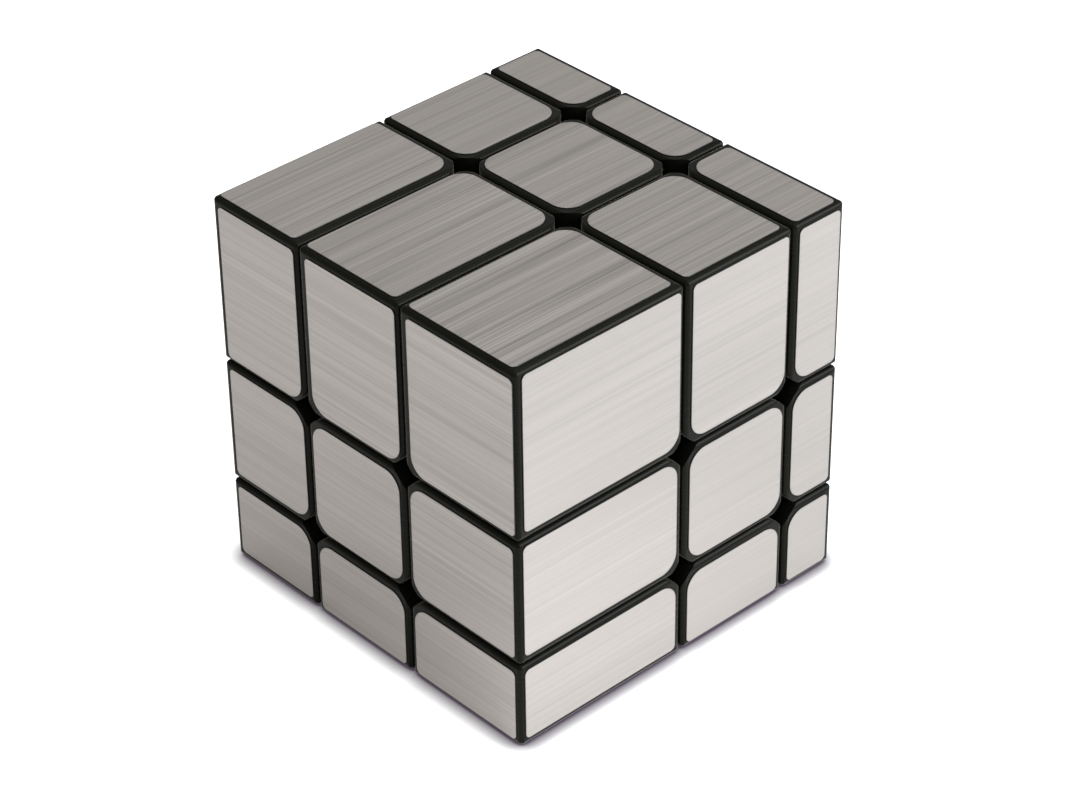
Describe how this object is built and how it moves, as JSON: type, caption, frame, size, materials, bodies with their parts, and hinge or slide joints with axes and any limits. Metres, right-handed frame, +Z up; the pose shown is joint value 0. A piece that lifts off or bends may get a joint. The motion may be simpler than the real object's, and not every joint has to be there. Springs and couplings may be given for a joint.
{
  "type": "shape-shifting twisty puzzle cube",
  "caption": "Silver shape-shifting twisty puzzle cube: black hollow cubies of unequal thickness with brushed foil stickers, turning in layers round an off-centre screwed core.",
  "frame": {"origin": "under the middle of the cube, on its bottom face", "axes": "+Z up, +X towards the right face, +Y towards the back face (the thin layer)"},
  "size_m": [0.057, 0.057, 0.057],
  "materials": {
    "black_plastic": "moulded, glossy, slightly worn at edges",
    "core_plastic": "moulded, satin",
    "silver_foil": "brushed metallised foil sticker",
    "screw_steel": "zinc plated",
    "spring_steel": "drawn wire"
  },
  "bodies": {
    "middle_layer": {"core": "core_plastic", "screws": "screw_steel", "springs": "spring_steel", "washers": "screw_steel", "middle_stickers": "silver_foil", "front_left_edge": "black_plastic", "front_left_edge_cap": "black_plastic", "front_centre": "black_plastic", "front_centre_cap": "black_plastic", "front_right_edge": "black_plastic", "front_right_edge_cap": "black_plastic", "left_centre": "black_plastic", "left_centre_cap": "black_plastic", "right_centre": "black_plastic", "right_centre_cap": "black_plastic", "back_left_edge": "black_plastic", "back_left_edge_cap": "black_plastic", "back_centre": "black_plastic", "back_centre_cap": "black_plastic", "back_right_edge": "black_plastic", "back_right_edge_cap": "black_plastic"},
    "upper_layer": {"upper_stickers": "silver_foil", "top_front_left_corner": "black_plastic", "top_front_left_corner_cap": "black_plastic", "top_front_edge": "black_plastic", "top_front_edge_cap": "black_plastic", "top_front_right_corner": "black_plastic", "top_front_right_corner_cap": "black_plastic", "top_left_edge": "black_plastic", "top_left_edge_cap": "black_plastic", "top_centre": "black_plastic", "top_centre_cap": "black_plastic", "top_right_edge": "black_plastic", "top_right_edge_cap": "black_plastic", "top_back_left_corner": "black_plastic", "top_back_left_corner_cap": "black_plastic", "top_back_edge": "black_plastic", "top_back_edge_cap": "black_plastic", "top_back_right_corner": "black_plastic", "top_back_right_corner_cap": "black_plastic"},
    "lower_layer": {"lower_side_stickers": "silver_foil", "bottom_stickers": "silver_foil", "bottom_front_left_corner": "black_plastic", "bottom_front_left_corner_cap": "black_plastic", "bottom_front_edge": "black_plastic", "bottom_front_edge_cap": "black_plastic", "bottom_front_right_corner": "black_plastic", "bottom_front_right_corner_cap": "black_plastic", "bottom_left_edge": "black_plastic", "bottom_left_edge_cap": "black_plastic", "bottom_centre": "black_plastic", "bottom_centre_cap": "black_plastic", "bottom_right_edge": "black_plastic", "bottom_right_edge_cap": "black_plastic", "bottom_back_left_corner": "black_plastic", "bottom_back_left_corner_cap": "black_plastic", "bottom_back_edge": "black_plastic", "bottom_back_edge_cap": "black_plastic", "bottom_back_right_corner": "black_plastic", "bottom_back_right_corner_cap": "black_plastic"}
  },
  "joints": [
    {"name": "upper_layer_turn", "type": "hinge", "parent": "middle_layer", "child": "upper_layer", "pos_m": [-0.002, 0.0095, 0.0225], "axis": [0, 0, 1], "continuous": true},
    {"name": "lower_layer_turn", "type": "hinge", "parent": "middle_layer", "child": "lower_layer", "pos_m": [-0.002, 0.0095, 0.0225], "axis": [0, 0, 1], "continuous": true}
  ]
}
